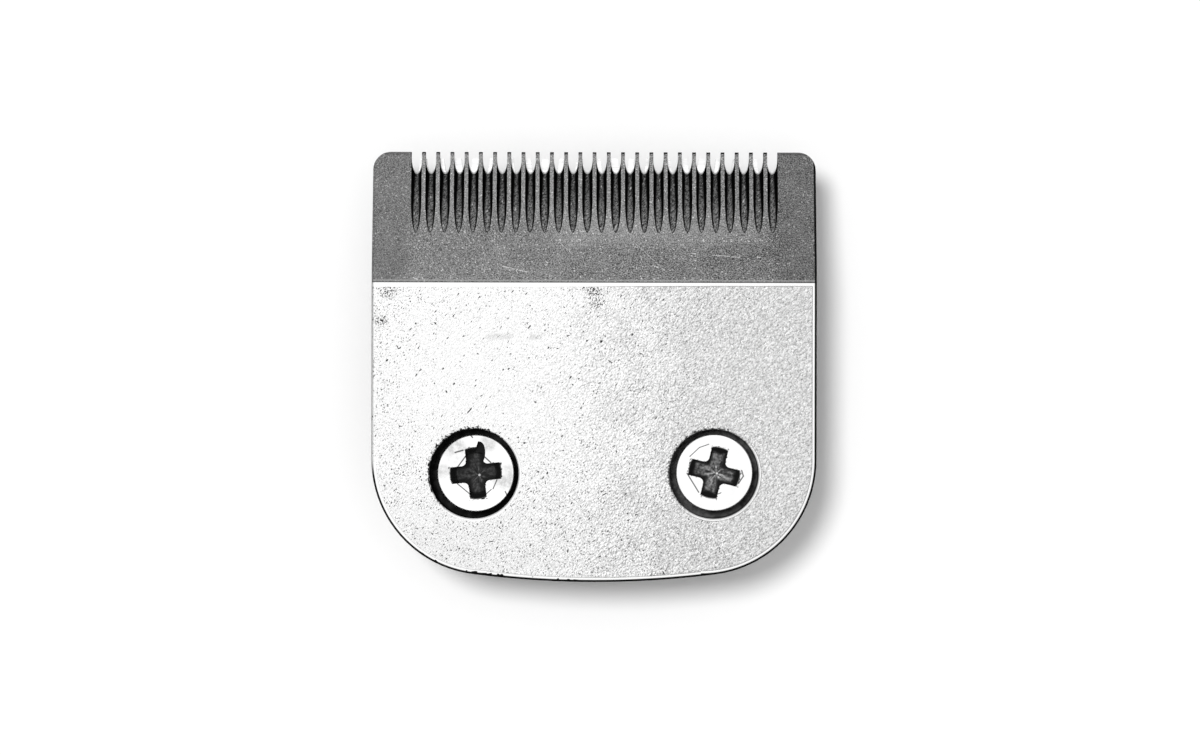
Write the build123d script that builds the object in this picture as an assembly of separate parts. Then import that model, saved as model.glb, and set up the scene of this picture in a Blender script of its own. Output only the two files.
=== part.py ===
from build123d import *
import os
from math import atan2, degrees, sqrt

# Detachable hair clipper blade set. A comb (the fixed blade) with a ground front bevel and milled
# tooth slots, a cutter that slides across its back, a flat spring and a plastic guide that press
# the cutter on, a folded socket for the clipper's tongue, and two cross-recessed screws.
#
# Frame: the set lies on its back. +Z points out of the skin face, +Y towards the tooth tips, and
# the origin is under the middle of the comb, on the surface that the set lies on. Millimetres.

# Comb
slot_count = 26
slot_pitch = 1.284
slot_width = 0.95
side_land = 3.425              # uncut land beside the outermost slots
comb_thickness = 3.0
tip_thickness = 0.53
tip_break = 0.16               # edges taken off the tips
bevel_length = 11.86           # tips to the crease of the skin face
slot_mouth = 1.83              # tips to the slots' round end in the shear face
slot_run_out = 7.39            # tips to the slots' pointed end in the bevel
front_corner_radius = 1.6
rear_corner_radius = 10.35
rear_crown_radius = 85.0
rear_margin = 3.08             # comb behind the socket
face_edge_round = 0.25
hollow_start = 4.6             # front shear land, tips to the hollow
hollow_depth = 0.35

# Screws
screw_spacing = 21.5
screw_inset = 4.97             # socket's front edge to the screws
counterbore_diameter = 8.0
counterbore_depth = 2.2
counterbore_edge_break = 0.12
clearance_hole = 4.5
screw_diameter = 4.0
screw_end_chamfer = 0.35
head_diameter = 6.9
head_height = 2.0
head_edge_break = 0.08
recess_span = 4.7
recess_wing = 1.5
recess_wall_depth = 1.05
recess_floor_span = 3.5
recess_depth = 1.5
recess_corner_round = 0.45
left_screw_shift = (0.16, 0.03)  # the screws don't sit central in their counterbores
right_screw_shift = (0.04, 0.11)
left_screw_turn = 6.3
right_screw_turn = -13.8
tear_depth = 0.8               # slipped driver's tear beside one wing of the left screw
tear_straight = [(0.66, 1.0), (-0.1, 1.2), (-0.06, 2.05), (0.2, 2.85)]
tear_curve = [(0.2, 2.85), (0.6, 2.7), (0.82, 2.2), (0.82, 1.5), (0.66, 1.0)]

# Cutter
cutter_teeth = 20
cutter_pitch = 1.571
cutter_setback = 0.55          # comb's tips to the cutter's tips
cutter_tooth_tip = 0.53
cutter_tooth_root = 1.25
cutter_gap_depth = 2.6
cutter_rest_shift = -0.54      # where the cutter stands in its stroke
cutter_tip_height = 0.9
cutter_body_height = 2.6
cutter_slope_length = 5.05
cutter_shelf = 1.4
drive_bar_depth = 4.0
drive_bar_height = 5.0
drive_bar_width = 20.0
drive_slot_width = 7.0
guide_channel = 4.6
heel_depth = 1.2
heel_height = 3.6
cutter_hollow_start = 4.2
cutter_hollow_depth = 0.35
heel_rail = 3.2
cutter_edge_round = 0.4

# Tension spring and its guide
spring_sheet = 0.7
spring_bend_radius = 1.0
spring_reach = 7.2             # cutter's heel to the socket's front edge
spring_tail = 11.5             # spring's base under the socket
spring_base_edge = 3.75        # spring's base beyond the screws
base_bend_inset = 1.4          # socket's front edge to the first bend
rise_run = 3.0
drop_run = 1.3
arm_gap = 12.0
arm_width = 5.0
arm_end_round = 1.2
arm_root_round = 1.0
guide_height = 2.2
guide_overhang = 2.5           # guide beyond the arms, each side
guide_edge = 0.5
peg_diameter = 1.6
peg_stand_out = 0.35
foot_inset = 0.4               # guide's front edge to the arms' ends
foot_bend_inset = 0.2

# Socket
socket_sheet = 1.6
socket_bend_radius = 1.6       # at the middle of the sheet
socket_length = 11.6
socket_edge = 4.75             # socket's outside beyond the screws
tongue_height = 4.4
lip_width = 3.5
lip_lead_in = 1.6
latch_notch_width = 6.0
latch_notch_depth = 3.0

# Fits
oil_film = 0.02
guide_clearance = 0.1
thread_clearance = 0.03
peg_clearance = 0.1
screw_hole_clearance = 0.3     # spring's holes round the screws
cut_margin = 5.0               # how far cutting shapes run past what they cut

# Which end of a cylinder, cone or box stands at its place
ON_SEAT = (Align.CENTER, Align.CENTER, Align.MIN)
UNDER_SEAT = (Align.CENTER, Align.CENTER, Align.MAX)

# Worked out from the sizes above
comb_width = (slot_count - 1) * slot_pitch + slot_width + 2 * side_land
cutter_length = cutter_slope_length + cutter_shelf + drive_bar_depth + guide_channel + heel_depth
cutter_width = (cutter_teeth - 1) * cutter_pitch + cutter_tooth_root
heel_back = cutter_setback + cutter_length
socket_front = heel_back + spring_reach
socket_back = socket_front + socket_length
comb_length = socket_back + rear_margin
socket_width = screw_spacing + 2 * socket_edge
shear_z = spring_sheet + 2 * socket_sheet + tongue_height
skin_z = shear_z + comb_thickness
seat_z = skin_z - counterbore_depth
base_z = shear_z - spring_sheet - socket_sheet   # socket's base, the face in the channel
bevel_slope = (comb_thickness - tip_thickness) / bevel_length


def y_at(from_tips):
    """Y of a place given by its distance behind the comb's tips."""
    return comb_length / 2 - from_tips


def z_at(below_shear):
    """Z of a place given by its depth behind the shear face."""
    return shear_z - below_shear


tip_y = y_at(0)
screw_y = y_at(socket_front + screw_inset)
hole_places = [(-screw_spacing / 2, screw_y), (screw_spacing / 2, screw_y)]
screw_shifts = [left_screw_shift, right_screw_shift]
screw_places = [(x + dx, y + dy) for (x, y), (dx, dy) in zip(hole_places, screw_shifts)]
guide_front = cutter_setback + cutter_length - heel_depth - guide_channel + guide_clearance
guide_back = cutter_setback + cutter_length - heel_depth - guide_clearance
guide_seat = cutter_body_height + 2 * oil_film
guide_back_depth = guide_seat + guide_height
peg_y = y_at((guide_front + guide_back) / 2)
arm_middle = arm_gap / 2 + arm_width / 2


def across(sketch, width):
    """A YZ outline made into a bar that runs across the blade, centred on X."""
    return extrude(Plane.YZ * sketch, width / 2, both=True)


def hollow(start, end, depth, face):
    """A shallow hollow-ground scallop between two lands, as an outline in YZ."""
    middle = (start + end) / 2
    arc = ThreePointArc((y_at(start), face), (y_at(middle), face + depth), (y_at(end), face))
    return make_face(arc + Line(arc @ 1, arc @ 0))


def comb_plan():
    """The comb's outline seen from the skin: square front, crowned rear, round corners."""
    half = comb_width / 2
    rear = y_at(comb_length)
    sagitta = rear_crown_radius - sqrt(rear_crown_radius**2 - half**2)
    sides = Polyline((-half, rear + sagitta), (-half, tip_y), (half, tip_y), (half, rear + sagitta))
    crown = ThreePointArc((half, rear + sagitta), (0, rear), (-half, rear + sagitta))
    plan = make_face(sides + crown)
    plan = fillet(plan.vertices().group_by(Axis.Y)[-1], front_corner_radius)
    return fillet(plan.vertices().group_by(Axis.Y)[0], rear_corner_radius)


def comb_side():
    """The comb's section: thin blunted tips, a straight bevel to the crease, then full thickness."""
    rear = y_at(comb_length + cut_margin)
    tip_top = shear_z + tip_thickness
    over = skin_z + cut_margin
    outline = Polyline(
        (rear, shear_z),
        (tip_y, shear_z),
        (tip_y, tip_top),
        (y_at(bevel_length), skin_z),
        (y_at(bevel_length), over),
        (rear, over),
        close=True,
    )
    side = make_face(outline)
    tips = side.vertices().group_by(Axis.X)[-1]
    side = chamfer(tips, min(tip_break, 0.4 * tip_thickness))
    return side - hollow(hollow_start, heel_back - heel_rail, hollow_depth, shear_z)


def slot_tool(x):
    """A round-bottomed groove that leaves through the shear face and runs out in the bevel."""
    low = (y_at(slot_mouth), shear_z)
    high = (y_at(slot_run_out), shear_z + tip_thickness + slot_run_out * bevel_slope)
    slope = atan2(high[1] - low[1], low[0] - high[0])
    plane = Plane((x, *low), x_dir=(1, 0, 0), z_dir=(0, -1, 0)).rotated((degrees(-slope), 0, 0))
    radius = slot_width / 2
    reach = comb_thickness + cut_margin
    section = Pos(0, radius) * Circle(radius) + Pos(0, radius + reach / 2) * Rectangle(slot_width, reach)
    return extrude(plane * section, slot_run_out + cut_margin, both=True)


def comb():
    blank = extrude(Pos(0, 0, shear_z) * comb_plan(), comb_thickness)
    blank = fillet(blank.faces().sort_by(Axis.Z)[-1].edges(), face_edge_round)
    blank = blank & across(comb_side(), comb_width + cut_margin)
    first_slot = -(slot_count - 1) / 2 * slot_pitch
    blank = blank - [slot_tool(first_slot + i * slot_pitch) for i in range(slot_count)]
    for x, y in hole_places:
        blank -= Pos(x, y, seat_z) * Cylinder(counterbore_diameter / 2, comb_thickness, align=ON_SEAT)
        rim = counterbore_diameter / 2 + counterbore_edge_break
        blank -= Pos(x, y, skin_z) * Cone(
            counterbore_diameter / 2, rim, counterbore_edge_break, align=UNDER_SEAT
        )
        blank -= Pos(x, y, shear_z) * Cylinder(clearance_hole / 2, 2 * comb_thickness)
    return blank


def cross_recess(turn):
    """A cross recess with sloping wing ends and a pointed floor, cut from the head's top."""
    top = head_height
    cross = Rectangle(recess_wing, recess_span) + Rectangle(recess_span, recess_wing)
    inner = cross.vertices().sort_by_distance((0, 0))[:4]
    cross = fillet(inner, recess_corner_round)
    prism = extrude(Pos(0, 0, top + cut_margin) * cross, -(cut_margin + recess_depth))
    wall = Polyline(
        (0, top + cut_margin),
        (recess_span / 2, top + cut_margin),
        (recess_span / 2, top),
        (recess_floor_span / 2, top - recess_wall_depth),
        (0, top - recess_depth),
        close=True,
    )
    cone = revolve(Plane.XZ * make_face(wall), Axis.Z)
    return Rot(0, 0, turn) * (prism & cone)


def driver_tear():
    """The tear that a slipped driver left beside the recess."""
    outline = make_face(Polyline(*tear_straight) + Spline(*tear_curve))
    return extrude(Pos(0, 0, head_height) * outline, -tear_depth)


def screw(place, turn, torn):
    shank_length = seat_z - base_z
    head = Cylinder(head_diameter / 2, head_height, align=ON_SEAT)
    head = chamfer(head.edges().sort_by(Axis.Z)[-1], head_edge_break)
    shank = Cylinder(screw_diameter / 2, shank_length, align=UNDER_SEAT)
    shank = chamfer(shank.edges().sort_by(Axis.Z)[0], screw_end_chamfer)
    body = head + shank - cross_recess(turn)
    if torn:
        body -= driver_tear()
    return Pos(*place, seat_z) * body


def cutter_side():
    """The cutter's section: sloped teeth, drive bar, channel for the guide, and a heel."""
    shelf = cutter_setback + cutter_slope_length
    bar = shelf + cutter_shelf
    channel = bar + drive_bar_depth
    heel = channel + guide_channel
    face = shear_z - oil_film
    points = [
        (cutter_setback, 0),
        (cutter_setback, cutter_tip_height),
        (shelf, cutter_body_height),
        (bar, cutter_body_height),
        (bar, drive_bar_height),
        (channel, drive_bar_height),
        (channel, cutter_body_height),
        (heel, cutter_body_height),
        (heel, heel_height),
        (heel_back, heel_height),
        (heel_back, 0),
    ]
    side = make_face(Polyline(*[(y_at(d), face - h) for d, h in points], close=True))
    bar_edges = side.vertices().group_by(Axis.Y)[0]
    side = fillet(bar_edges, cutter_edge_round)
    return side - Pos(0, -oil_film) * cutter_hollow()


def cutter_hollow():
    return hollow(cutter_hollow_start, heel_back - heel_rail, -cutter_hollow_depth, shear_z)


def cutter_gap(x):
    """The space between two cutter teeth: wide at the tips, narrow and round at the root."""
    front = y_at(cutter_setback)
    root = front - cutter_gap_depth
    tip_half = (cutter_pitch - cutter_tooth_tip) / 2
    root_half = (cutter_pitch - cutter_tooth_root) / 2
    flare = tip_half + (tip_half - root_half) / cutter_gap_depth * cut_margin
    outline = make_face(
        Polyline(
            (x - root_half, root),
            (x - flare, front + cut_margin),
            (x + flare, front + cut_margin),
            (x + root_half, root),
        )
        + ThreePointArc((x + root_half, root), (x, root - root_half), (x - root_half, root))
    )
    return extrude(Pos(0, 0, shear_z) * outline, drive_bar_height, both=True)


def cutter():
    body = across(cutter_side(), cutter_width)
    gap_span = cutter_teeth * cutter_pitch
    body -= [cutter_gap(-gap_span / 2 + i * cutter_pitch) for i in range(cutter_teeth + 1)]
    bar_middle = cutter_setback + cutter_slope_length + cutter_shelf + drive_bar_depth / 2
    beside = cutter_width - drive_bar_width
    below = z_at(cutter_body_height + oil_film)
    for x, width in ((-cutter_width / 2, beside), (0, drive_slot_width), (cutter_width / 2, beside)):
        block = Box(width, drive_bar_depth + 2 * oil_film, drive_bar_height, align=UNDER_SEAT)
        body -= Pos(x, y_at(bar_middle), below) * block
    return Pos(cutter_rest_shift, 0, 0) * body


def spring_line():
    """The middle of the spring's sheet from its tail, over the arch, to the foot on the guide."""
    tail = socket_front + spring_tail
    first_bend = socket_front - base_bend_inset
    foot_bend = guide_back - foot_bend_inset
    base = z_at(spring_sheet / 2)
    crown = spring_sheet / 2
    foot = z_at(guide_back_depth + spring_sheet / 2)
    return FilletPolyline(
        (y_at(tail), base),
        (y_at(first_bend), base),
        (y_at(first_bend - rise_run), crown),
        (y_at(foot_bend + drop_run), crown),
        (y_at(foot_bend), foot),
        (y_at(guide_front + foot_inset), foot),
        radius=spring_bend_radius,
    )


def spring_plan():
    """The spring seen from the skin: a broad base with two arms that run forward."""
    tail = y_at(socket_front + spring_tail)
    root = y_at(socket_front - base_bend_inset / 2)
    front = y_at(guide_front + foot_inset)
    base = Pos(0, (tail + root) / 2) * RectangleRounded(
        screw_spacing + 2 * spring_base_edge, root - tail, arm_root_round
    )
    for side in (-1, 1):
        long = front - tail
        arm = Rectangle(arm_width, long)
        arm = fillet(arm.vertices().group_by(Axis.Y)[-1], arm_end_round)
        base += Pos(side * arm_middle, (front + tail) / 2) * arm
    for x, y in screw_places:
        base -= Pos(x, y) * Circle(screw_diameter / 2 + screw_hole_clearance)
    for side in (-1, 1):
        base -= Pos(side * arm_middle, peg_y) * Circle(peg_diameter / 2 + peg_clearance)
    return base


def tension_spring():
    strip = across(trace(spring_line(), spring_sheet), screw_spacing + 2 * spring_base_edge)
    return strip & extrude(spring_plan(), shear_z)


def spring_guide():
    length = arm_gap + 2 * arm_width + 2 * guide_overhang
    depth = guide_back - guide_front
    bar = Box(length, depth, guide_height, align=UNDER_SEAT)
    bar = chamfer(bar.faces().sort_by(Axis.Z)[0].edges(), guide_edge)
    guide = Pos(0, peg_y, z_at(guide_seat)) * bar
    for side in (-1, 1):
        peg = Cylinder(peg_diameter / 2, spring_sheet + peg_stand_out, align=UNDER_SEAT)
        guide += Pos(side * arm_middle, peg_y, z_at(guide_back_depth)) * peg
    return guide


def socket_line():
    """The middle of the socket's sheet: lip, wall, base, wall, lip."""
    half = socket_width / 2 - socket_sheet / 2
    lip_end = socket_width / 2 - lip_width
    base = base_z + socket_sheet / 2
    lip = socket_sheet / 2
    return FilletPolyline(
        (-lip_end, lip),
        (-half, lip),
        (-half, base),
        (half, base),
        (half, lip),
        (lip_end, lip),
        radius=socket_bend_radius,
    )


def socket():
    middle = y_at((socket_front + socket_back) / 2)
    channel = extrude(Plane.XZ * trace(socket_line(), socket_sheet), socket_length / 2, both=True)
    channel = Pos(0, middle, 0) * channel
    back = y_at(socket_back)
    notch = Pos(0, back) * SlotOverall(2 * latch_notch_depth, latch_notch_width, rotation=90)
    channel -= extrude(Pos(0, 0, base_z - socket_sheet) * notch, 3 * socket_sheet)
    for side in (-1, 1):
        corner = Pos(side * (socket_width / 2 - lip_width), back) * Rectangle(
            lip_lead_in * sqrt(2), lip_lead_in * sqrt(2), rotation=45
        )
        channel -= extrude(corner, 1.5 * socket_sheet)
    for x, y in screw_places:
        channel -= Pos(x, y, base_z) * Cylinder(screw_diameter / 2 + thread_clearance, 3 * socket_sheet)
    return channel


def main():
    os.makedirs("parts", exist_ok=True)
    left, right = screw_places
    pieces = {
        "comb": comb(),
        "cutter": cutter(),
        "tension_spring": tension_spring(),
        "spring_guide": spring_guide(),
        "socket": socket(),
        "left_screw": screw(left, left_screw_turn, torn=True),
        "right_screw": screw(right, right_screw_turn, torn=False),
    }
    for name, piece in pieces.items():
        export_step(piece, f"parts/{name}.step")


main()
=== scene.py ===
import bpy
import math
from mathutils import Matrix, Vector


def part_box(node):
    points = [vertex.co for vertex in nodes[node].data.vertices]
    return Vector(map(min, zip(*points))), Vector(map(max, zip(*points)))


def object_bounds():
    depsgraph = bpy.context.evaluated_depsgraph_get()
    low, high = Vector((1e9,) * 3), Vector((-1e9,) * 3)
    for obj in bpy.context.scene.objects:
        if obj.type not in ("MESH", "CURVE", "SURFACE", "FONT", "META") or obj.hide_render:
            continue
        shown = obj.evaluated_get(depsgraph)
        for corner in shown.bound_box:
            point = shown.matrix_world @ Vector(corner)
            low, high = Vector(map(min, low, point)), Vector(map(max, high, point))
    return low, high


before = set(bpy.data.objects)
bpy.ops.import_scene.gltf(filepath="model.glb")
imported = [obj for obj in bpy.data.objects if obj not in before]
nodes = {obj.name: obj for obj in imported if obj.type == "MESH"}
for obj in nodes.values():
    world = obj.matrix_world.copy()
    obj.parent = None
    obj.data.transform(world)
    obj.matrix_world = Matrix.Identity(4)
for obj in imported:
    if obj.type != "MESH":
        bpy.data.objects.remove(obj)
cadBox = [list(corner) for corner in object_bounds()]
print("frame loaded:", ", ".join(sorted(nodes)))

scene = bpy.context.scene
scene.view_settings.view_transform = 'Standard'
mmPerMetre = 1000.0

# the photo is taken straight down on the skin face, tips up
cameraView = {
    "lens": 100.0, "sensor": 36.0, "nearest": 0.01, "farthest": 20.0,
    "above": 0.2985, "aimX": 0.00053, "aimY": -0.00101, "roll": 0.11,
}


def placeCamera():
    data = bpy.data.cameras.new("photoCamera")
    data.lens = cameraView["lens"]
    data.sensor_width = cameraView["sensor"]
    data.clip_start = cameraView["nearest"]
    data.clip_end = cameraView["farthest"]
    camera = bpy.data.objects.new("photoCamera", data)
    skin = cadBox[1][2]
    camera.location = (cameraView["aimX"], cameraView["aimY"], skin + cameraView["above"])
    camera.rotation_euler = (0, 0, math.radians(cameraView["roll"]))
    scene.collection.objects.link(camera)
    scene.camera = camera


placeCamera()
print("camera placed")


# node helpers: places are millimetres in the blade's own frame, tones are single grey levels
def newFinish(name):
    finish = bpy.data.materials.new(name)
    finish.use_nodes = True
    tree = finish.node_tree
    return finish, tree, tree.nodes["Principled BSDF"]


def addNode(tree, kind, **settings):
    node = tree.nodes.new(kind)
    for key, value in settings.items():
        setattr(node, key, value)
    return node


def plug(tree, node, socket, value):  # links another node's result, or sets a plain value
    if hasattr(value, "is_linked"):
        tree.links.new(value, node.inputs[socket])
    else:
        node.inputs[socket].default_value = value


def calc(tree, operation, *values):
    node = addNode(tree, "ShaderNodeMath", operation=operation)
    for index, value in enumerate(values):
        plug(tree, node, index, value)
    return node.outputs[0]


def vectorNode(tree, operation, values):
    node = addNode(tree, "ShaderNodeVectorMath", operation=operation)
    for index, value in enumerate(values):
        plug(tree, node, index, value)
    return node


def vector(tree, operation, *values):  # a place or a direction
    return vectorNode(tree, operation, values).outputs["Vector"]


def measure(tree, operation, *values):  # one number, such as a length
    return vectorNode(tree, operation, values).outputs["Value"]


def scaled(tree, place, scale):
    node = vectorNode(tree, 'SCALE', (place,))
    plug(tree, node, "Scale", scale)
    return node.outputs["Vector"]


def ramp(tree, value, low, high, toLow=0.0, toHigh=1.0):  # smooth step between two levels
    node = addNode(tree, "ShaderNodeMapRange", interpolation_type='SMOOTHSTEP')
    for index, given in enumerate((value, low, high, toLow, toHigh)):
        plug(tree, node, index, given)
    return node.outputs[0]


def chain(tree, operation, values):
    result = values[0]
    for value in values[1:]:
        result = calc(tree, operation, result, value)
    return result


def both(tree, *masks):
    return chain(tree, 'MULTIPLY', masks)


def either(tree, *masks):
    return chain(tree, 'MAXIMUM', masks)


def total(tree, *tones):
    return chain(tree, 'ADD', tones)


def minus(tree, value, taken):
    return calc(tree, 'SUBTRACT', value, taken)


def without(tree, mask):
    return minus(tree, 1.0, mask)


def apart(tree, value, level):  # how far a value is from a level, either way
    return calc(tree, 'ABSOLUTE', minus(tree, value, level))


def blendTone(tree, amount, first, second):
    return total(tree, first, both(tree, amount, minus(tree, second, first)))


def swing(tree, tone, noise, amount):  # lightens and darkens a tone with a noise around 0.5
    return calc(tree, 'MULTIPLY_ADD', minus(tree, noise, 0.5), amount, tone)


def greyFrom(tree, tone, tint=(1.0, 1.0, 1.0)):
    node = addNode(tree, "ShaderNodeCombineColor")
    for index, gain in enumerate(tint):
        plug(tree, node, index, tone if gain == 1.0 else both(tree, tone, gain))
    return node.outputs[0]


def axesOf(tree, place):
    split = addNode(tree, "ShaderNodeSeparateXYZ")
    tree.links.new(place, split.inputs[0])
    return split.outputs


def placeInMm(tree):
    coords = addNode(tree, "ShaderNodeTexCoord")
    return scaled(tree, coords.outputs["Object"], mmPerMetre)


def facingUp(tree):  # 1 where the surface faces up, -1 where it faces down
    coords = addNode(tree, "ShaderNodeTexCoord")
    return axesOf(tree, coords.outputs["Normal"])[2]


def flatPlace(tree, x, y):
    node = addNode(tree, "ShaderNodeCombineXYZ")
    plug(tree, node, 0, x)
    plug(tree, node, 1, y)
    return node.outputs[0]


def turned(tree, place, degrees):
    node = addNode(tree, "ShaderNodeVectorRotate", rotation_type='Z_AXIS')
    tree.links.new(place, node.inputs["Vector"])
    node.inputs["Angle"].default_value = math.radians(degrees)
    return node.outputs[0]


def grain(tree, place, scale=1.0, detail=2.0, rough=0.55, stretch=None, turn=0.0):  # turned, then stretched
    if stretch:
        place = vector(tree, 'MULTIPLY', turned(tree, place, turn), stretch)
    node = addNode(tree, "ShaderNodeTexNoise")
    tree.links.new(place, node.inputs["Vector"])
    node.inputs["Scale"].default_value = scale
    node.inputs["Detail"].default_value = detail
    node.inputs["Roughness"].default_value = rough
    return node.outputs[0]


def fromSpot(tree, flat, spot):
    return vector(tree, 'SUBTRACT', flat, (spot[0], spot[1], 0.0))


def farFrom(tree, flat, spot):  # distance from a spot, in plan
    return measure(tree, 'LENGTH', fromSpot(tree, flat, spot))


def scored(tree, flat, start, end, width, core=0.35):  # a straight mark, fading outside its core
    run = (end[0] - start[0], end[1] - start[1], 0.0)
    fromStart = fromSpot(tree, flat, start)
    share = calc(tree, 'DIVIDE', measure(tree, 'DOT_PRODUCT', fromStart, run), run[0] ** 2 + run[1] ** 2)
    share = calc(tree, 'MAXIMUM', calc(tree, 'MINIMUM', share, 1.0), 0.0)
    offLine = measure(tree, 'DISTANCE', fromStart, scaled(tree, run, share))
    return ramp(tree, offLine, width, width * core)


def roughen(tree, shader, height, strength, distance):
    bump = addNode(tree, "ShaderNodeBump")
    bump.inputs["Strength"].default_value = strength
    bump.inputs["Distance"].default_value = distance
    tree.links.new(height, bump.inputs["Height"])
    tree.links.new(bump.outputs[0], shader.inputs["Normal"])


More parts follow.
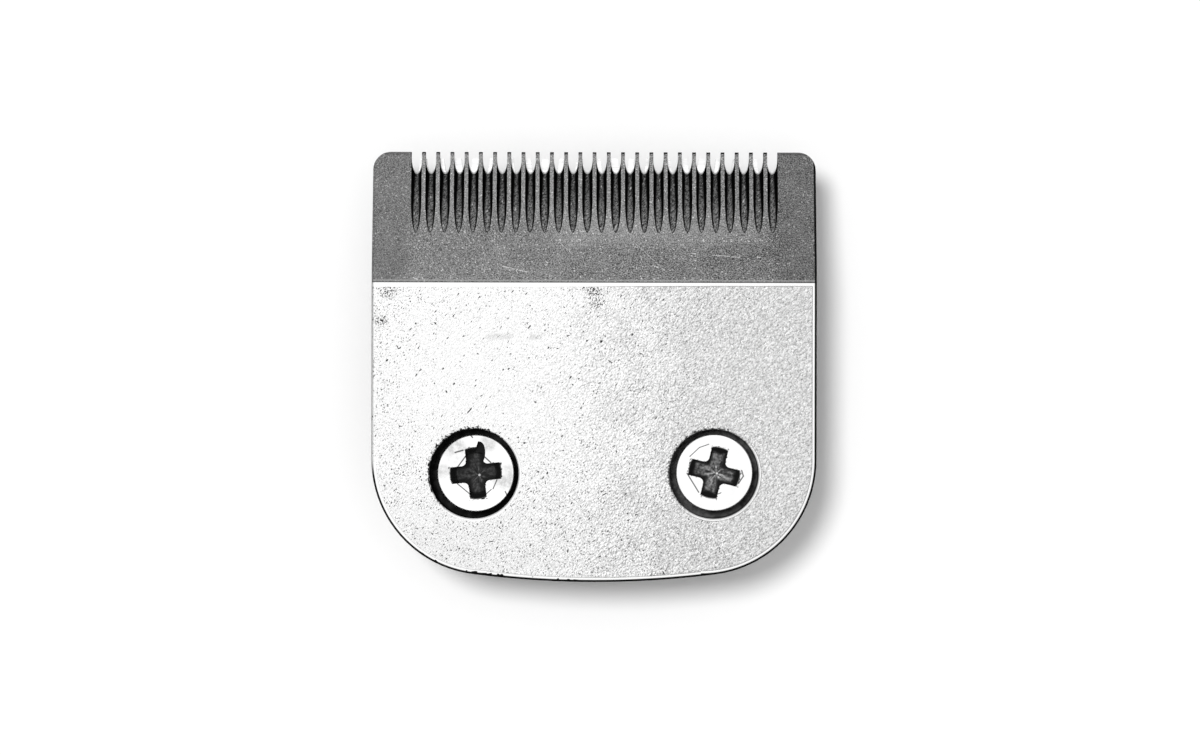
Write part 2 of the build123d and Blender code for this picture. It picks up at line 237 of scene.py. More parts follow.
# comb: plated silver body, ground grey bevel, milled slots and counterbores dark with painted shade
# a band is a ramp's two levels, then the two results that it runs between if they aren't 0 and 1
# a mark is its start, its end and its half width, and a stain is its middle and its reach
combLook = {
    "crease": 7.48, "creaseFade": 0.015, "tipThickness": 0.53, "rearRound": 10.35, "rearCrown": 85.0,
    "silver": {
        "left": 0.93, "right": 0.97, "cleanHighlight": 0.98, "dark": 0.025,
        "peel": {"scale": 5.0, "detail": 0.5, "rough": 0.5, "stretch": (1.15, 0.9, 1.0), "turn": 45.0},
        "fine": {"scale": 7.2, "detail": 0.0, "stretch": (1.2, 0.85, 1.0), "turn": 40.0},
        "pits": {"scale": 7.0, "detail": 1.5, "rough": 0.6, "stretch": (1.3, 0.8, 1.0), "turn": 35.0},
        "specks": {"scale": 3.3, "detail": 0.0, "stretch": (0.8, 1.7, 1.0), "turn": -50.0},
        "strength": {"scale": 2.1, "detail": 1.0}, "clusters": {"scale": 0.7}, "patches": {"scale": 0.3},
        "patchReach": 18.0, "rightBand": (-15.0, 19.0),
        "cleanWidth": 0.36, "cleanLoss": 0.3, "cleanFade": (-0.08, 0.0), "cleanRim": (0.47, 0.37),
        "pittedSideX": (-18.6, -19.0), "pittedSideY": (-9.5, -7.5),
        "polished": (-9.0, -0.5), "polishBand": (4.0, 12.0, 0.335, 0.395),
        "stainPits": 0.1, "rightPits": -0.07, "midwayPits": 0.1, "clusterPits": 0.15,
        "rearRightPits": (-8.0, -17.0, 0.0, 0.03), "pitFade": 0.018, "strengthBand": (0.42, 0.6, 0.36, 1.0),
        "rearShade": (-9.0, -17.0, 0.0, -0.06), "fineLeft": 0.3, "fineRight": 0.95,
        "speckBand": (0.23, 0.19), "speckRight": (0.5, 1.0, 1.0, 0.25),
        "embossBand": (0.15, 0.8, 0.3, 1.05), "embossLeft": 0.03, "embossRight": 0.7, "pitDepth": 0.1,
        "stains": (((-18.4, 6.75), 1.2), ((-0.1, 6.8), 1.3), ((-19.1, 4.0), 0.9), ((0.2, 5.6), 1.0)),
        "stainCore": 0.1, "stainPeel": (0.6, 0.38), "stainGrain": (0.62, 0.4), "stainShare": 0.7,
        "smudges": (((-9.5, 2.62), (-7.5, 2.66), 0.4), ((-5.5, 2.6), (-5.0, 2.62), 0.4)),
        "smudgeTone": 0.5, "smudgeShare": 0.3,
        "nicks": (
            ((0.8, -11.55), (1.1, -11.38), 0.07), ((-2.0, -12.3), (-1.95, -12.2), 0.08),
            ((-5.88, 3.4), (-5.72, 3.6), 0.08), ((-13.25, -2.25), (-13.2, -2.35), 0.09),
            ((-5.3, -3.2), (-5.22, -3.24), 0.09), ((6.2, -18.4), (6.3, -18.6), 0.08),
            ((-9.35, -15.75), (-9.0, -15.68), 0.06), ((1.3, 0.5), (1.6, 0.3), 0.06),
        ),
    },
    "bevel": {
        "gain": 0.955, "speckle": {"scale": 11.0, "detail": 1.0, "rough": 0.5},
        "speckleBand": (0.32, 0.68, 0.055, 0.4), "speckleDepth": 0.025,
        "sparks": {"scale": 7.0, "detail": 0.0}, "sparkBand": (0.7, 0.77, 0.0, 0.45),
        "cloud": {"scale": 0.35}, "cloudBand": (0.35, 0.7, -0.02, 0.02),
        "acrossBand": (17.0, -9.0, -0.005, 0.05), "sideBand": (15.0, 17.0, 0.0, -0.035),
        "rootHighlight": (5.5, 12.2), "rootBandX": (12.5, 6.0), "rootBandY": (2.2, 0.3), "rootGain": 0.09,
        "toothBandX": (16.6, 16.2), "toothBandY": (12.4, 14.4), "toothGain": 0.07,
        "landBand": (16.2, 17.0, 0.0, 0.3), "landTone": 0.2,
        "creaseHighlight": 0.2, "creaseHighlightBand": (0.09, 0.04, 0.0, 0.6), "creaseHighlightTone": 0.48,
        "creaseShadeBand": (0.08, 0.04), "creaseShadeTone": 0.07,
        "scratches": (
            ((-8.2, 8.95), (-5.9, 8.4), 0.07), ((3.2, 11.5), (6.5, 8.4), 0.025),
            ((10.6, 10.0), (13.1, 9.78), 0.045), ((5.2, 9.05), (5.7, 8.85), 0.07),
            ((8.75, 10.15), (9.1, 10.1), 0.06), ((-3.1, 11.1), (-2.0, 10.1), 0.035),
            ((7.0, 9.65), (8.1, 9.7), 0.03), ((-16.2, 7.9), (-15.8, 7.72), 0.09),
            ((-1.3, 12.15), (-0.5, 12.1), 0.07),
        ),
        "scratchBand": (0.32, 0.5), "scratchTone": 0.75,
    },
    "slots": {
        "pitch": 1.284, "zone": 16.53, "point": 11.95, "mouth": 17.51, "fall": 0.164, "pointRun": 0.5,
        # pairs of values at the mouth and at the point
        "floorShadeTones": (0.105, 0.18), "floorEdge": (0.21, 0.36), "floorFlat": (0.0, 0.16),
        "floorDepth": (0.35, 1.0), "leastDepth": 0.03, "wallShadeTone": 0.0015, "floorMetal": 0.6,
        "chatter": {"detail": 2.0, "rough": 0.65, "stretch": (11.0, 5.0, 4.0), "turn": 35.0},
        "chatterBand": (0.34, 0.68, 0.15, 2.2),
        "glints": {"detail": 1.0, "stretch": (5.0, 2.5, 3.0), "turn": 20.0},
        "glintBand": (0.66, 0.74, 0.0, 0.4),
        "startDepth": (0.003, 0.01), "startPoint": (-0.1, 0.0),
        "endTips": (0.01, 0.03), "endZone": (0.06, 0.02),
        "burrBand": (0.06, 0.03), "burrTone": 0.9,
    },
    "tips": {
        "tone": 0.05, "capBand": (0.32, 0.25), "middle": 0.17, "endBand": (0.05, 0.11),
        "sideBand": (0.07, 0.13), "share": (0.0, 0.2, 0.85, 0.4),
    },
    "edges": {
        "facing": (0.75, 0.5), "drawn": {"stretch": (1.0, 1.0, 8.0)}, "drawnBand": (0.3, 0.7, 0.14, 0.26),
        "rimShadeTone": 0.006, "rimLine": (0.225, 0.175), "rimDepth": (0.45, 0.3),
        "litSideX": (-19.5, -19.8, 0.0, 0.75), "litSideY": (-10.0, -8.0),
        "dents": {"scale": 2.0, "detail": 1.0}, "dentBand": (0.57, 0.63, 0.0, 0.12),
        "dentX": (-1.0, -3.0), "dentY": (-16.5, -17.5),
    },
    "shear": {
        "facing": (-0.8, -0.95), "strokes": {"stretch": (0.3, 9.0, 1.0)},
        "strokeBand": (0.3, 0.7, 0.28, 0.42), "strokeDepth": 0.03,
    },
    "wells": {
        "places": (((-10.75, -9.63), 0.017), ((10.75, -9.63), 0.077)),  # each middle, and its painted shade's tone
        "radius": 4.0, "wallFade": (0.06, 0.0),
        "rings": {"stretch": (1.5, 1.5, 6.0)}, "ringBand": (0.3, 0.7, 0.5, 1.5),
        "ragged": {"scale": 4.5, "detail": 3.0, "rough": 0.7}, "raggedBand": (0.44, 0.7, 0.0, 0.4),
        "raggedSide": (-0.2, 0.2, 0.0), "raggedReach": (-0.2, 0.8),
        "lipHighlightTone": 0.98, "lipBand": (0.3, 0.2), "lipReach": (0.1, -0.4), "lipDepth": (0.3, 0.1),
    },
    "silverRough": (0.2, 1.0, 0.26, 0.34), "bevelRough": 0.48, "edgeRough": 0.5, "hollowRough": 0.7,
    "bump": (1.0, 0.0003),
}
combFloor, combTop = [[value * mmPerMetre for value in corner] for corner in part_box("comb")]


def fromRearRim(tree, aside, y, flat):  # how far in from the rear and side rims, in plan
    rearRound, rearCrown = combLook["rearRound"], combLook["rearCrown"]
    crownY = combFloor[1] + rearCrown
    cornerX = combTop[0] - rearRound
    cornerY = crownY - math.sqrt((rearCrown - rearRound) ** 2 - cornerX ** 2)
    pastX = calc(tree, 'MAXIMUM', minus(tree, aside, cornerX), 0.0)
    pastY = calc(tree, 'MAXIMUM', minus(tree, cornerY, y), 0.0)
    fromCorner = minus(tree, rearRound, measure(tree, 'LENGTH', flatPlace(tree, pastX, pastY)))
    fromCrown = minus(tree, rearCrown, farFrom(tree, flat, (0.0, crownY)))
    return blendTone(tree, calc(tree, 'GREATER_THAN', aside, cornerX), fromCrown, fromCorner)


def combSilver(tree, place, x, y, flat, rim):
    look = combLook["silver"]
    peel = grain(tree, place, **look["peel"])
    fine = grain(tree, place, **look["fine"])
    pits = grain(tree, place, **look["pits"])
    specks = grain(tree, place, **look["specks"])
    clusters = grain(tree, place, **look["clusters"])
    patches = grain(tree, place, **look["patches"])
    strength = ramp(tree, grain(tree, place, **look["strength"]), *look["strengthBand"])

    # the plating is coarser towards the right; along the crease and most of the rim it is clean and carries a
    # painted highlight
    toRight = ramp(tree, swing(tree, x, patches, look["patchReach"]), *look["rightBand"])
    cleanFrom = calc(tree, 'MULTIPLY_ADD', toRight, look["cleanWidth"] * look["cleanLoss"],
                     combLook["crease"] - look["cleanWidth"])
    pittedSide = both(tree, ramp(tree, x, *look["pittedSideX"]), ramp(tree, y, *look["pittedSideY"]))
    cleanHighlitRim = both(tree, ramp(tree, rim, *look["cleanRim"]), without(tree, pittedSide))
    cleanHighlight = either(tree, ramp(tree, minus(tree, y, cleanFrom), *look["cleanFade"]), cleanHighlitRim)
    stain = either(tree, *[ramp(tree, farFrom(tree, flat, spot), reach, look["stainCore"])
                           for spot, reach in look["stains"]])

    # pits gather in clusters and stains, and are fewer round the polished spot
    level = ramp(tree, farFrom(tree, flat, look["polished"]), *look["polishBand"])
    midway = both(tree, toRight, without(tree, toRight))
    for share, gain in ((stain, "stainPits"), (toRight, "rightPits"), (midway, "midwayPits")):
        level = calc(tree, 'MULTIPLY_ADD', share, look[gain], level)
    level = swing(tree, level, clusters, look["clusterPits"])
    level = total(tree, level, both(tree, toRight, ramp(tree, y, *look["rearRightPits"])))
    pitted = both(tree, ramp(tree, pits, level, minus(tree, level, look["pitFade"])),
                  without(tree, cleanHighlight), either(tree, strength, stain))
    speckled = both(tree, ramp(tree, specks, *look["speckBand"]), without(tree, cleanHighlight),
                    ramp(tree, toRight, *look["speckRight"]))
    stained = both(tree, stain, ramp(tree, peel, *look["stainPeel"]), ramp(tree, pits, *look["stainGrain"]),
                   look["stainShare"])
    nicked = [scored(tree, flat, *nick) for nick in look["nicks"]]

    tone = blendTone(tree, toRight, look["left"], look["right"])
    tone = total(tree, tone, ramp(tree, y, *look["rearShade"]))
    tone = swing(tree, tone, fine, calc(tree, 'MULTIPLY_ADD', toRight, look["fineRight"], look["fineLeft"]))
    for smudge in look["smudges"]:
        smudged = both(tree, scored(tree, flat, *smudge), look["smudgeShare"])
        tone = blendTone(tree, smudged, tone, look["smudgeTone"])
    tone = blendTone(tree, either(tree, stained, pitted, speckled, *nicked), tone, look["dark"])
    # a painted highlight on the clean plating along the crease and rim
    tone = blendTone(tree, cleanHighlight, tone, look["cleanHighlight"])

    embossed = both(tree, toRight, ramp(tree, toRight, *look["embossBand"]))
    raised = both(tree, peel, calc(tree, 'MULTIPLY_ADD', embossed, look["embossRight"], look["embossLeft"]))
    height = both(tree, calc(tree, 'MULTIPLY_ADD', pits, look["pitDepth"], raised), without(tree, cleanHighlight))
    return tone, height


def combBevel(tree, place, x, y, aside, flat):
    look = combLook["bevel"]
    speckle = grain(tree, place, **look["speckle"])
    sparks = grain(tree, place, **look["sparks"])
    cloud = grain(tree, place, **look["cloud"])
    # a painted highlight round the roots of the teeth
    rootX, rootY = look["rootHighlight"]
    rootHighlight = both(tree, ramp(tree, apart(tree, x, rootX), *look["rootBandX"]),
                 ramp(tree, apart(tree, y, rootY), *look["rootBandY"]), look["rootGain"])
    teeth = both(tree, ramp(tree, aside, *look["toothBandX"]), ramp(tree, y, *look["toothBandY"]),
                 look["toothGain"])
    tone = total(tree, ramp(tree, speckle, *look["speckleBand"]), ramp(tree, sparks, *look["sparkBand"]),
                 rootHighlight, teeth, ramp(tree, x, *look["acrossBand"]), ramp(tree, aside, *look["sideBand"]),
                 ramp(tree, cloud, *look["cloudBand"]))
    broken = ramp(tree, speckle, *look["scratchBand"])
    for scratch in look["scratches"]:
        scratched = both(tree, scored(tree, flat, *scratch), broken)
        tone = blendTone(tree, scratched, tone, look["scratchTone"])
    tone = blendTone(tree, ramp(tree, aside, *look["landBand"]), tone, look["landTone"])

    # painted shade as a dark line along the crease, and a painted highlight as a pale line in front of it
    pastCrease = minus(tree, y, combLook["crease"])
    creaseHighlight = ramp(tree, apart(tree, pastCrease, look["creaseHighlight"]), *look["creaseHighlightBand"])
    tone = blendTone(tree, creaseHighlight, tone, look["creaseHighlightTone"])
    tone = blendTone(tree, ramp(tree, pastCrease, *look["creaseShadeBand"]), tone, look["creaseShadeTone"])
    return both(tree, tone, look["gain"]), speckle


def combSlotShade(tree, place, x, y, depth):  # painted shade: black walls, and a milled floor that is darker at the mouth and widens towards the point; the glints are painted highlights
    look = combLook["slots"]
    shareAcross = calc(tree, 'FRACT', calc(tree, 'DIVIDE', x, look["pitch"]))
    offCentre = both(tree, apart(tree, shareAcross, 0.5), look["pitch"])
    toPoint = ramp(tree, y, look["mouth"], look["point"] + look["pointRun"])
    chatter = ramp(tree, grain(tree, place, **look["chatter"]), *look["chatterBand"])
    glints = ramp(tree, grain(tree, place, **look["glints"]), *look["glintBand"])
    floorTone = both(tree, blendTone(tree, toPoint, *look["floorShadeTones"]), chatter)
    floorTone = total(tree, floorTone, glints)
    deepest = both(tree, minus(tree, y, look["point"]), look["fall"])
    shareDown = calc(tree, 'DIVIDE', depth, calc(tree, 'MAXIMUM', deepest, look["leastDepth"]))
    onFloor = both(tree, ramp(tree, offCentre, blendTone(tree, toPoint, *look["floorEdge"]),
                              blendTone(tree, toPoint, *look["floorFlat"])),
                   ramp(tree, shareDown, *look["floorDepth"]))
    return blendTone(tree, onFloor, look["wallShadeTone"], floorTone), onFloor, offCentre


def combTipShade(tree, behindTips, pastZone, offCentre):  # painted shade: dark outlines round the tips' flat ends
    look = combLook["tips"]
    fromTooth = minus(tree, combLook["slots"]["pitch"] / 2, offCentre)
    outline = either(tree, ramp(tree, apart(tree, behindTips, look["middle"]), *look["endBand"]),
                     ramp(tree, fromTooth, *look["sideBand"]))
    return both(tree, ramp(tree, behindTips, *look["capBand"]), outline, ramp(tree, pastZone, *look["share"]))


def combRimShade(tree, place, x, y, rim, depth):  # painted shade: a dark line where the rim turns down, dented at the rear, left out along the lit left side
    look = combLook["edges"]
    litSide = both(tree, ramp(tree, x, *look["litSideX"]), ramp(tree, y, *look["litSideY"]))
    dents = both(tree, ramp(tree, y, *look["dentY"]), ramp(tree, x, *look["dentX"]),
                 ramp(tree, grain(tree, place, **look["dents"]), *look["dentBand"]))
    line = ramp(tree, minus(tree, rim, dents), *look["rimLine"])
    return both(tree, line, ramp(tree, depth, *look["rimDepth"]), without(tree, litSide))


def combWells(tree, place, flat):  # painted shade: counterbores black and ragged at the upper left, with a painted highlight on the lip opposite
    look = combLook["wells"]
    ragged = ramp(tree, grain(tree, place, **look["ragged"]), *look["raggedBand"])
    rings = ramp(tree, grain(tree, place, **look["rings"]), *look["ringBand"])
    darks, lipHighlights, tone = [], [], 0.0
    for spot, paintedShade in look["places"]:
        pastWall = minus(tree, farFrom(tree, flat, spot), look["radius"])
        upperLeft = measure(tree, 'DOT_PRODUCT', fromSpot(tree, flat, spot), look["raggedSide"])
        chipped = both(tree, ragged, ramp(tree, upperLeft, *look["raggedReach"]))
        dark = ramp(tree, minus(tree, pastWall, chipped), *look["wallFade"])
        darks.append(dark)
        lip = ramp(tree, pastWall, *look["lipBand"])
        lipHighlights.append(both(tree, lip, ramp(tree, upperLeft, *look["lipReach"])))
        tone = blendTone(tree, dark, tone, both(tree, rings, paintedShade))
    return either(tree, *darks), either(tree, *lipHighlights), tone


def combFinish():
    look = combLook
    slots, edges, shear, wells = look["slots"], look["edges"], look["shear"], look["wells"]
    skinZ, shearZ, tipsY = combTop[2], combFloor[2], combTop[1]
    finish, tree, shader = newFinish("combSteel")
    place = placeInMm(tree)
    x, y, z = axesOf(tree, place)
    faceUp = facingUp(tree)
    flat = flatPlace(tree, x, y)
    aside = calc(tree, 'ABSOLUTE', x)
    rim = fromRearRim(tree, aside, y, flat)

    # how far below the skin side, which falls away in front of the crease
    slope = (skinZ - shearZ - look["tipThickness"]) / (tipsY - look["crease"])
    fall = both(tree, minus(tree, y, look["crease"]), slope)
    depth = minus(tree, calc(tree, 'MINIMUM', minus(tree, skinZ, fall), skinZ), z)

    silver, silverHeight = combSilver(tree, place, x, y, flat, rim)
    bevel, speckle = combBevel(tree, place, x, y, aside, flat)
    onBevel = ramp(tree, y, look["crease"] - look["creaseFade"], look["crease"] + look["creaseFade"])
    tone = blendTone(tree, onBevel, silver, bevel)

    # cut edges are dull
    onEdge = ramp(tree, faceUp, *edges["facing"])
    drawn = ramp(tree, grain(tree, place, **edges["drawn"]), *edges["drawnBand"])
    tone = blendTone(tree, onEdge, tone, drawn)
    # painted shade along the rim
    rimShade = combRimShade(tree, place, x, y, rim, depth)
    tone = blendTone(tree, rimShade, tone, edges["rimShadeTone"])

    # teeth: tips outlined in painted shade, slots dark with painted shade between them, and a bright burr at
    # the shear face
    slotShadeTone, slotFloor, offCentre = combSlotShade(tree, place, x, y, depth)
    behindTips = minus(tree, tipsY, y)
    pastZone = minus(tree, aside, slots["zone"])
    tone = blendTone(tree, combTipShade(tree, behindTips, pastZone, offCentre), tone, look["tips"]["tone"])
    inSlot = both(tree, ramp(tree, depth, *slots["startDepth"]),
                  ramp(tree, minus(tree, y, slots["point"]), *slots["startPoint"]),
                  ramp(tree, behindTips, *slots["endTips"]), ramp(tree, pastZone, *slots["endZone"]))
    tone = blendTone(tree, inSlot, tone, slotShadeTone)
    burr = both(tree, inSlot, ramp(tree, minus(tree, z, shearZ), *slots["burrBand"]))
    tone = blendTone(tree, burr, tone, slots["burrTone"])

    # the shear face is ground in long strokes
    onShear = ramp(tree, faceUp, *shear["facing"])
    strokes = grain(tree, place, **shear["strokes"])
    tone = blendTone(tree, onShear, tone, ramp(tree, strokes, *shear["strokeBand"]))
    # painted shade inside the wells and a painted highlight on their lower right lips
    inWell, wellLipHighlight, wellShadeTone = combWells(tree, place, flat)
    lipOnFace = both(tree, wellLipHighlight, ramp(tree, depth, *wells["lipDepth"]))
    tone = blendTone(tree, lipOnFace, tone, wells["lipHighlightTone"])
    tone = blendTone(tree, inWell, tone, wellShadeTone)

    tree.links.new(greyFrom(tree, tone), shader.inputs["Base Color"])
    # the painted shade in the slots, the wells and the rim line is not metal, so that it stays dark
    bare = either(tree, burr, both(tree, slotFloor, slots["floorMetal"]))
    paintedShadeMask = either(tree, both(tree, inSlot, without(tree, bare)), inWell, rimShade)
    tree.links.new(without(tree, paintedShadeMask), shader.inputs["Metallic"])
    rough = blendTone(tree, onBevel, ramp(tree, silverHeight, *look["silverRough"]), look["bevelRough"])
    rough = blendTone(tree, onEdge, rough, look["edgeRough"])
    rough = blendTone(tree, either(tree, inSlot, inWell), rough, look["hollowRough"])
    tree.links.new(rough, shader.inputs["Roughness"])
    shader.inputs["Specular IOR Level"].default_value = 0.0
    height = both(tree, silverHeight, without(tree, either(tree, wellLipHighlight, onShear, onEdge)))
    height = blendTone(tree, onBevel, height, both(tree, speckle, look["bevel"]["speckleDepth"]))
    height = blendTone(tree, onShear, height, both(tree, strokes, shear["strokeDepth"]))
    roughen(tree, shader, height, *look["bump"])
    return finish


# screws: bright plated heads, scuffed, with painted shade, painted highlights and scored metal in the recess
# each screw's places are measured from its own axis
screwLook = {
    "headRadius": 3.45, "headHeight": 2.0, "wingHalf": 0.75, "wingReach": 2.35, "wingFloor": 2.06,
    "bright": 1.0, "scuffed": 0.66, "paintedShade": 0.007, "shank": 0.4, "shankSwing": 0.3, "shankFade": 0.05,
    "wipe": {"scale": 0.8, "detail": 3.0}, "fine": {"scale": 6.0}, "pitted": {"scale": 4.5, "rough": 0.6},
    "wearCore": 0.4, "wearFine": (0.3, 0.6, 0.4, 1.0), "wearWipe": (0.35, 0.6, 0.3, 1.0),
    "markShare": 0.9, "markTone": 0.05,
    "fringeBand": (-0.08, -0.03), "fringePits": (0.54, 0.62), "fringeTone": 0.03,
    "streaks": {"detail": 3.0, "rough": 0.65}, "streakTurn": 2.0, "streakRun": 0.7,
    "streakBand": (0.38, 0.66, 0.15, 1.7), "rayReach": (1.1, 0.2), "rayBand": (0.5, 0.62, 0.0, 1.6),
    "floorBand": (0.08, 0.5), "floorPits": (0.35, 0.65, 0.45, 1.4),
    "pointBand": (0.14, 0.05), "pointTone": 0.9,
    "recessDepth": (0.04, 0.16), "recessRim": (-0.25, -0.35), "recessShadeShare": 0.8, "recessRough": 0.6,
    "sideDepth": (0.22, 0.35), "sideRim": (-0.2, -0.1), "sideShadeTone": 0.03,
    "plateRough": (0.3, 0.7, 0.24, 0.34), "specular": 0.25, "bump": (0.3, 0.00002),
    "left_screw": {
        "turn": 6.3, "deep": (0.28, -0.2), "recess": 0.034,
        "wear": (((-1.9, 2.1), 1.5), ((2.7, -0.4), 1.6), ((1.1, 2.7), 1.0), ((-2.9, 0.2), 0.9)),
        "marks": (
            ((-1.62, 0.55), (-0.85, 1.6), 0.085), ((0.8, 1.45), (1.35, 0.95), 0.09),
            ((-1.65, -0.95), (-0.55, -1.85), 0.07), ((1.9, -0.6), (1.55, -1.4), 0.07),
            ((1.4, -1.45), (0.95, -1.85), 0.06), ((-1.85, 1.85), (-1.15, 2.05), 0.1),
            ((2.65, -1.65), (2.85, -2.05), 0.08), ((-0.5, 3.45), (-0.3, 3.2), 0.09),
        ),
    },
    "right_screw": {
        "turn": -13.8, "deep": (0.28, -0.1), "recess": 0.17, "wear": (),
        "marks": (
            ((-2.2, 1.45), (-1.35, 2.25), 0.06), ((-1.35, 2.25), (-0.5, 2.55), 0.06),
            ((-2.45, -0.05), (-1.4, -1.75), 0.08), ((2.45, 0.2), (2.6, -0.3), 0.08),
            ((2.6, -0.3), (2.2, -0.9), 0.08), ((0.2, -1.95), (0.6, -1.8), 0.06),
        ),
    },
}


def insideCross(tree, along, across, reach):  # how far inside a cross with wings of the given reach
    half = screwLook["wingHalf"]
    first = calc(tree, 'MINIMUM', minus(tree, half, across), minus(tree, reach, along))
    second = calc(tree, 'MINIMUM', minus(tree, half, along), minus(tree, reach, across))
    return either(tree, first, second)


# recess: painted shade, black along its walls and paler on the wing floors, streaked out from its deepest
# point, which stays bright metal, with painted highlights as rays round that point
def screwRecess(tree, own, flat, along, across, pitted):
    look = screwLook
    away = axesOf(tree, fromSpot(tree, flat, own["deep"]))
    bearing = calc(tree, 'ARCTAN2', away[1], away[0])
    fromDeep = farFrom(tree, flat, own["deep"])
    spread = flatPlace(tree, both(tree, bearing, look["streakTurn"]), both(tree, fromDeep, look["streakRun"]))
    streaks = grain(tree, spread, **look["streaks"])
    onFloor = ramp(tree, insideCross(tree, along, across, look["wingFloor"]), *look["floorBand"])
    rayHighlights = both(tree, ramp(tree, fromDeep, *look["rayReach"]), ramp(tree, streaks, *look["rayBand"]))
    tone = both(tree, onFloor, total(tree, rayHighlights, ramp(tree, streaks, *look["streakBand"])),
                ramp(tree, pitted, *look["floorPits"]))
    tone = calc(tree, 'MULTIPLY_ADD', tone, own["recess"], look["paintedShade"])
    point = ramp(tree, fromDeep, *look["pointBand"])
    return blendTone(tree, point, tone, look["pointTone"]), point


def screwFinish(name):
    look = screwLook
    own = look[name]
    finish, tree, shader = newFinish(name + "Plate")
    place = placeInMm(tree)
    x, y, z = axesOf(tree, place)
    low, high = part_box(name)
    axisX, axisY = [(low[axis] + high[axis]) / 2 * mmPerMetre for axis in (0, 1)]
    flat = flatPlace(tree, minus(tree, x, axisX), minus(tree, y, axisY))
    pastHead = minus(tree, measure(tree, 'LENGTH', flat), look["headRadius"])
    depth = minus(tree, high[2] * mmPerMetre, z)
    inCross = axesOf(tree, turned(tree, flat, -own["turn"]))
    along, across = [calc(tree, 'ABSOLUTE', inCross[axis]) for axis in (0, 1)]

    # plating with wiped patches, the chords scored round the recess and a ragged recess edge
    wipe = grain(tree, place, **look["wipe"])
    fine = grain(tree, place, **look["fine"])
    pitted = grain(tree, place, **look["pitted"])
    tone = look["bright"]
    for spot, reach in own["wear"]:
        worn = both(tree, ramp(tree, farFrom(tree, flat, spot), reach, reach * look["wearCore"]),
                    ramp(tree, fine, *look["wearFine"]), ramp(tree, wipe, *look["wearWipe"]))
        tone = blendTone(tree, worn, tone, look["scuffed"])
    for mark in own["marks"]:
        marked = both(tree, scored(tree, flat, *mark), look["markShare"])
        tone = blendTone(tree, marked, tone, look["markTone"])
    fromEdge = insideCross(tree, along, across, look["wingReach"])
    fringe = both(tree, ramp(tree, fromEdge, *look["fringeBand"]), ramp(tree, pitted, *look["fringePits"]))
    tone = blendTone(tree, fringe, tone, look["fringeTone"])

    recessTone, point = screwRecess(tree, own, flat, along, across, pitted)
    onShank = ramp(tree, depth, look["headHeight"], look["headHeight"] + look["shankFade"])
    inRecess = both(tree, ramp(tree, depth, *look["recessDepth"]), ramp(tree, pastHead, *look["recessRim"]),
                    without(tree, onShank))
    tone = blendTone(tree, inRecess, tone, recessTone)
    # painted shade on the head's side, down in the counterbore
    headSideShade = both(tree, ramp(tree, depth, *look["sideDepth"]), ramp(tree, pastHead, *look["sideRim"]))
    tone = blendTone(tree, headSideShade, tone, look["sideShadeTone"])
    tone = blendTone(tree, onShank, tone, swing(tree, look["shank"], wipe, look["shankSwing"]))

    tree.links.new(greyFrom(tree, tone), shader.inputs["Base Color"])
    # the painted shade in the recess is not metal, so that it stays dark
    paintedShadeMask = both(tree, inRecess, without(tree, point), look["recessShadeShare"])
    tree.links.new(without(tree, paintedShadeMask), shader.inputs["Metallic"])
    rough = blendTone(tree, inRecess, ramp(tree, wipe, *look["plateRough"]), look["recessRough"])
    tree.links.new(rough, shader.inputs["Roughness"])
    shader.inputs["Specular IOR Level"].default_value = look["specular"]
    roughen(tree, shader, total(tree, wipe, both(tree, inRecess, pitted)), *look["bump"])
    return finish


# cutter: steel, ground bright on the face that meets the comb and dull elsewhere
cutterLook = {
    "bright": 0.98, "lined": 0.86, "dull": 0.3, "dullSwing": 0.2, "groundFacing": (0.9, 0.97),
    "strokes": {"stretch": (0.4, 8.0, 2.0)}, "strokeBand": (0.45, 0.75),
    "cloud": {"scale": 0.5}, "cloudBand": (0.35, 0.65),
    "rough": (0.3, 0.7, 0.22, 0.36), "bump": (0.2, 0.00001),
}


def cutterFinish():
    look = cutterLook
    finish, tree, shader = newFinish("cutterSteel")
    place = placeInMm(tree)
    strokes = grain(tree, place, **look["strokes"])
    cloud = grain(tree, place, **look["cloud"])
    lined = both(tree, ramp(tree, strokes, *look["strokeBand"]), ramp(tree, cloud, *look["cloudBand"]))
    ground = blendTone(tree, lined, look["bright"], look["lined"])
    dull = swing(tree, look["dull"], cloud, look["dullSwing"])
    tone = blendTone(tree, ramp(tree, facingUp(tree), *look["groundFacing"]), dull, ground)
    tree.links.new(greyFrom(tree, tone), shader.inputs["Base Color"])
    shader.inputs["Metallic"].default_value = 1.0
    tree.links.new(ramp(tree, strokes, *look["rough"]), shader.inputs["Roughness"])
    roughen(tree, shader, strokes, *look["bump"])
    return finish


# spring and socket: strip and sheet with rolling lines, dulled where hands and oil reach
sheetLook = {
    "springStrip": {
        "level": 0.36, "tint": (0.98, 0.99, 1.0), "rough": (0.35, 0.7, 0.26, 0.4),
        "lines": {"detail": 3.0, "rough": 0.6, "stretch": (0.25, 9.0, 9.0), "turn": 90.0},
    },
    "socketSheet": {
        "level": 0.42, "tint": (1.0, 0.985, 0.95), "rough": (0.35, 0.7, 0.3, 0.45),
        "lines": {"detail": 3.0, "rough": 0.6, "stretch": (0.2, 7.0, 7.0), "turn": 0.0},
    },
    "lineSwing": 0.3,
    "oil": {"scale": 0.25, "detail": 3.0}, "oilBand": (0.45, 0.7, 0.0, 0.35), "oilShare": 0.6,
    "pits": {"scale": 4.0, "detail": 1.0, "rough": 0.4}, "pitBand": (0.3, 0.24, 0.0, 0.7), "pitTone": 0.1,
    "bump": (0.3, 0.000015),
}


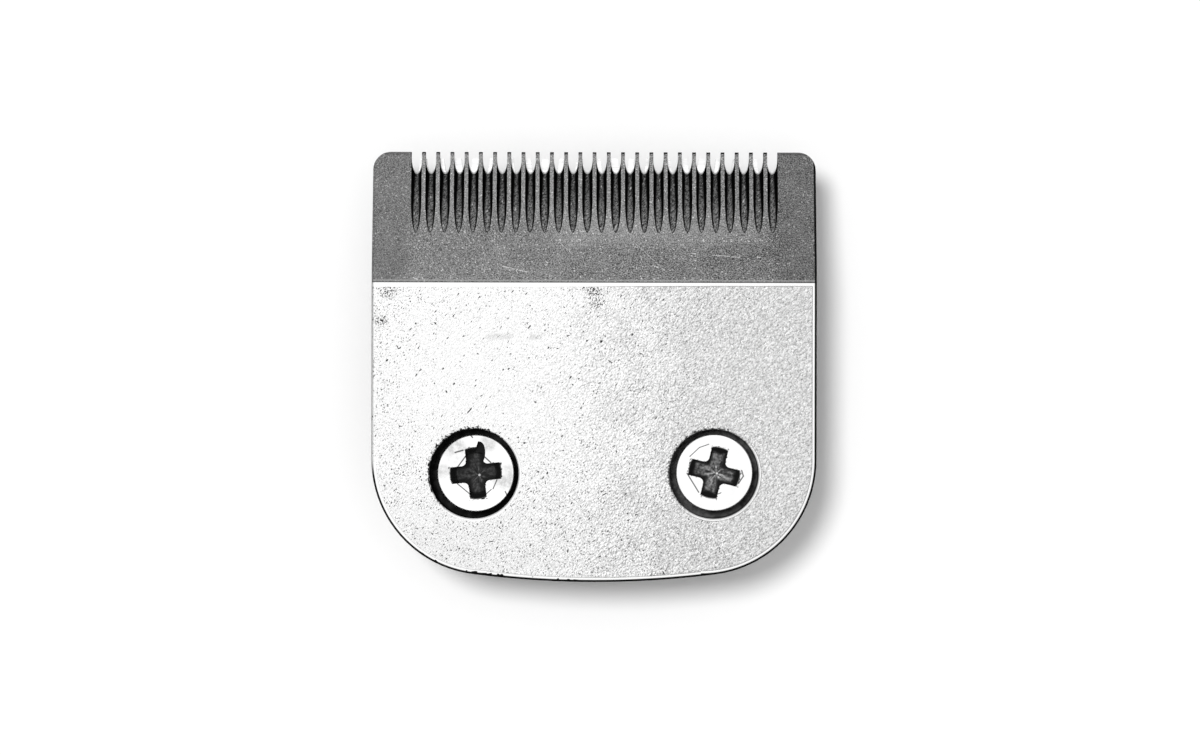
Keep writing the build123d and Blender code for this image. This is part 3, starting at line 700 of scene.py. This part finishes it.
def sheetFinish(name):
    look = sheetLook
    own = look[name]
    finish, tree, shader = newFinish(name)
    place = placeInMm(tree)
    lines = grain(tree, place, **own["lines"])
    oil = grain(tree, place, **look["oil"])
    pits = grain(tree, place, **look["pits"])
    tone = swing(tree, own["level"], lines, look["lineSwing"])
    tone = blendTone(tree, ramp(tree, oil, *look["oilBand"]), tone, own["level"] * look["oilShare"])
    tone = blendTone(tree, ramp(tree, pits, *look["pitBand"]), tone, look["pitTone"])
    tree.links.new(greyFrom(tree, tone, own["tint"]), shader.inputs["Base Color"])
    shader.inputs["Metallic"].default_value = 1.0
    tree.links.new(ramp(tree, oil, *own["rough"]), shader.inputs["Roughness"])
    roughen(tree, shader, lines, *look["bump"])
    return finish


# guide: matt black moulding with a spark-eroded skin, rubbed paler on its high spots
guideLook = {
    "black": 0.022, "rubbed": 0.06, "rub": {"scale": 0.6}, "rubBand": (0.5, 0.7),
    "spark": {"scale": 5.0, "detail": 3.0, "rough": 0.6}, "sparkBand": (0.45, 0.7),
    "rough": (0.3, 0.7, 0.5, 0.68), "bump": (0.5, 0.00002),
}


def guideFinish():
    look = guideLook
    finish, tree, shader = newFinish("guidePlastic")
    place = placeInMm(tree)
    spark = grain(tree, place, **look["spark"])
    rub = grain(tree, place, **look["rub"])
    rubbed = both(tree, ramp(tree, rub, *look["rubBand"]), ramp(tree, spark, *look["sparkBand"]))
    tone = blendTone(tree, rubbed, look["black"], look["rubbed"])
    tree.links.new(greyFrom(tree, tone), shader.inputs["Base Color"])
    tree.links.new(ramp(tree, spark, *look["rough"]), shader.inputs["Roughness"])
    roughen(tree, shader, spark, *look["bump"])
    return finish


def dress(nodeName, finish):
    item = nodes[nodeName]
    item.data.materials.clear()
    item.data.materials.append(finish)


dress("comb", combFinish())
dress("cutter", cutterFinish())
dress("tension_spring", sheetFinish("springStrip"))
dress("socket", sheetFinish("socketSheet"))
dress("spring_guide", guideFinish())
for screw in ("left_screw", "right_screw"):
    dress(screw, screwFinish(screw))
print("finishes given")


# white paper floor, one soft lamp from the upper left and a white room, brightest near the lamp
studio = {
    "floor": 0.97, "floorRough": 0.9, "floorSize": 0.7, "floorDrop": 0.00002,
    "key": 0.59, "keyTilt": 15.3, "keySide": 138.5, "keyDistance": 1.5, "keySize": 0.35,
    "fillLow": 0.2, "fillTop": 1.65, "fillPower": 8.0,
    "mirrorLow": 0.76, "mirrorGlow": 0.62, "glowTilt": 16.0, "glowPower": 12.0,
    "shade": 0.35, "shadeSide": (0.62, -0.62, -0.1), "shadeBand": (0.1, 0.8), "shadeRise": (0.2, 0.5),
}


def towards(tilt, side):  # a direction by its angle from straight up and its bearing from +X
    tilt, side = math.radians(tilt), math.radians(side)
    return (math.sin(tilt) * math.cos(side), math.sin(tilt) * math.sin(side), math.cos(tilt))


def layFloor():
    half = studio["floorSize"] / 2
    corners = [(-half, -half, 0), (half, -half, 0), (half, half, 0), (-half, half, 0)]
    mesh = bpy.data.meshes.new("floor")
    mesh.from_pydata(corners, [], [(0, 1, 2, 3)])
    floor = bpy.data.objects.new("floor", mesh)
    floor.location.z = -studio["floorDrop"]
    scene.collection.objects.link(floor)
    finish, _, shader = newFinish("floorPaper")
    level = studio["floor"]
    shader.inputs["Base Color"].default_value = (level, level, level, 1.0)
    shader.inputs["Roughness"].default_value = studio["floorRough"]
    shader.inputs["Specular IOR Level"].default_value = 0.0
    mesh.materials.append(finish)


def hangKey():
    data = bpy.data.lights.new("keyLight", 'AREA')
    data.shape = 'DISK'
    data.size = studio["keySize"]
    distance = studio["keyDistance"]
    data.energy = studio["key"] * math.pi * math.pi * distance * distance  # 1 lights white paper to white
    direction = towards(studio["keyTilt"], studio["keySide"])
    lamp = bpy.data.objects.new("keyLight", data)
    lamp.location = [part * distance for part in direction]
    lamp.rotation_euler = (math.asin(-direction[1]), math.atan2(direction[0], direction[2]), 0)
    lamp.visible_glossy = False  # metal mirrors the room instead
    scene.collection.objects.link(lamp)


def fillWorld():
    world = bpy.data.worlds.new("studioAir")
    scene.world = world
    world.use_nodes = True
    tree = world.node_tree
    air = tree.nodes["Background"]
    air.inputs["Color"].default_value = (1, 1, 1, 1)
    path = addNode(tree, "ShaderNodeLightPath")
    coords = addNode(tree, "ShaderNodeTexCoord")
    direction = coords.outputs["Generated"]
    upwards = axesOf(tree, direction)[2]
    overhead = calc(tree, 'POWER', calc(tree, 'MAXIMUM', upwards, 0.0), studio["fillPower"])
    fill = calc(tree, 'MULTIPLY_ADD', overhead, studio["fillTop"], studio["fillLow"])

    # metal mirrors a paler glow round the lamp and a shaded side opposite
    toKey = measure(tree, 'DOT_PRODUCT', direction, towards(studio["glowTilt"], studio["keySide"]))
    glow = calc(tree, 'POWER', calc(tree, 'MAXIMUM', toKey, 0.0), studio["glowPower"])
    mirrored = calc(tree, 'MULTIPLY_ADD', glow, studio["mirrorGlow"], studio["mirrorLow"])
    toShade = measure(tree, 'DOT_PRODUCT', direction, studio["shadeSide"])
    shaded = both(tree, ramp(tree, toShade, *studio["shadeBand"]), ramp(tree, upwards, *studio["shadeRise"]))
    mirrored = blendTone(tree, shaded, mirrored, studio["shade"])
    strength = blendTone(tree, path.outputs["Is Glossy Ray"], fill, mirrored)
    seen = either(tree, path.outputs["Is Camera Ray"], path.outputs["Is Transmission Ray"])
    tree.links.new(blendTone(tree, seen, strength, 1.0), air.inputs["Strength"])


layFloor()
hangKey()
fillWorld()
print("studio lit")
